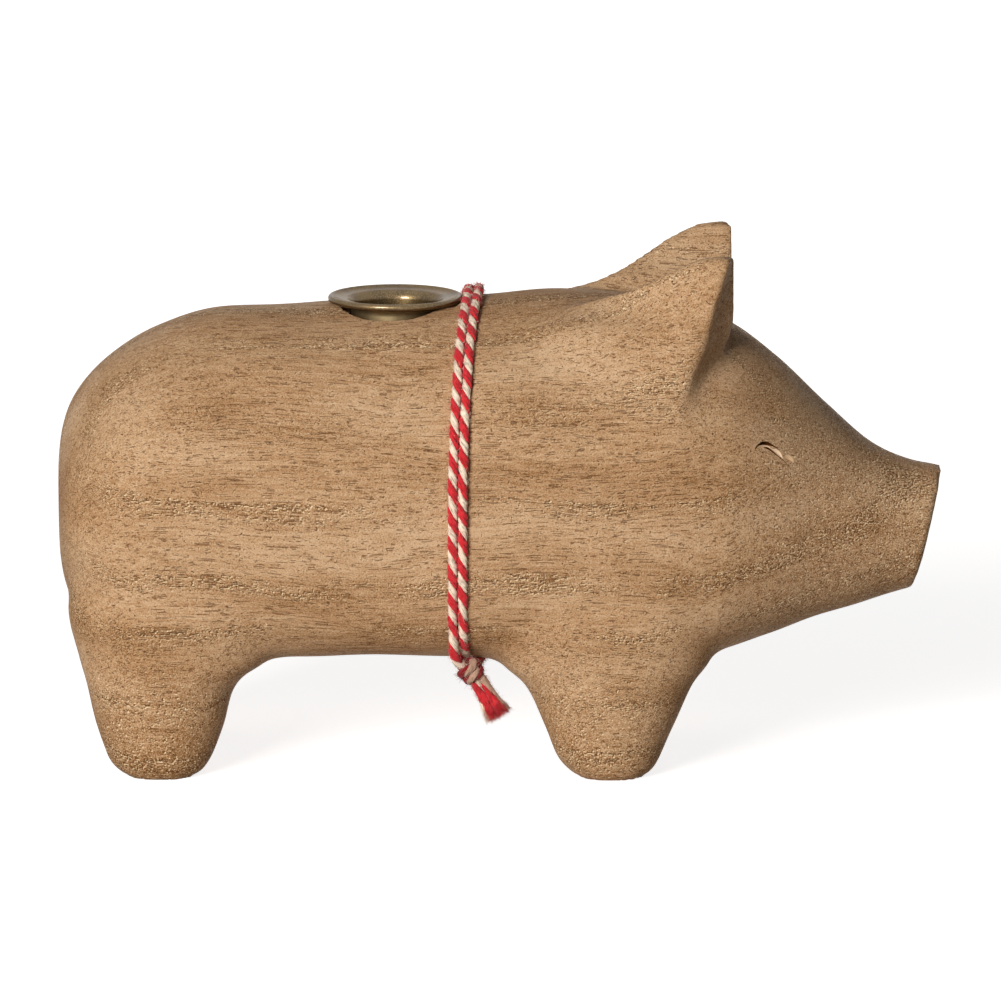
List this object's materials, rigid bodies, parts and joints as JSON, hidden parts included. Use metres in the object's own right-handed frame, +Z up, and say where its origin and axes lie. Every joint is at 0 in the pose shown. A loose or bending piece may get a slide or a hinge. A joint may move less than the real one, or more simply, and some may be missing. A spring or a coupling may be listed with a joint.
{
  "type": "candle holder",
  "caption": "Carved wooden pig standing on its feet, with a flanged brass cup for a taper candle dropped into its back and a twisted cord tied round its middle.",
  "frame": {"origin": "on the ground under the middle of the bounding box", "axes": "+X from the rump to the snout, +Z up, +Y to the animal's left"},
  "size_m": [0.238, 0.089, 0.141],
  "materials": {
    "stained_wood": "brushed and stained, matt",
    "aged_brass": "dark aged brass, half gloss",
    "twisted_yarn": "matt, red and natural plies"
  },
  "bodies": {
    "pig": {"pig_body": "stained_wood", "cord_winding": "twisted_yarn", "cord_knot": "twisted_yarn", "cord_end_rear": "twisted_yarn", "cord_end_front": "twisted_yarn"},
    "cup": {"candle_cup": "aged_brass"}
  },
  "joints": [
    {"name": "cup_lift", "type": "slide", "parent": "pig", "child": "cup", "axis": [0, 0, 1], "range_m": [0, 0.04]}
  ]
}
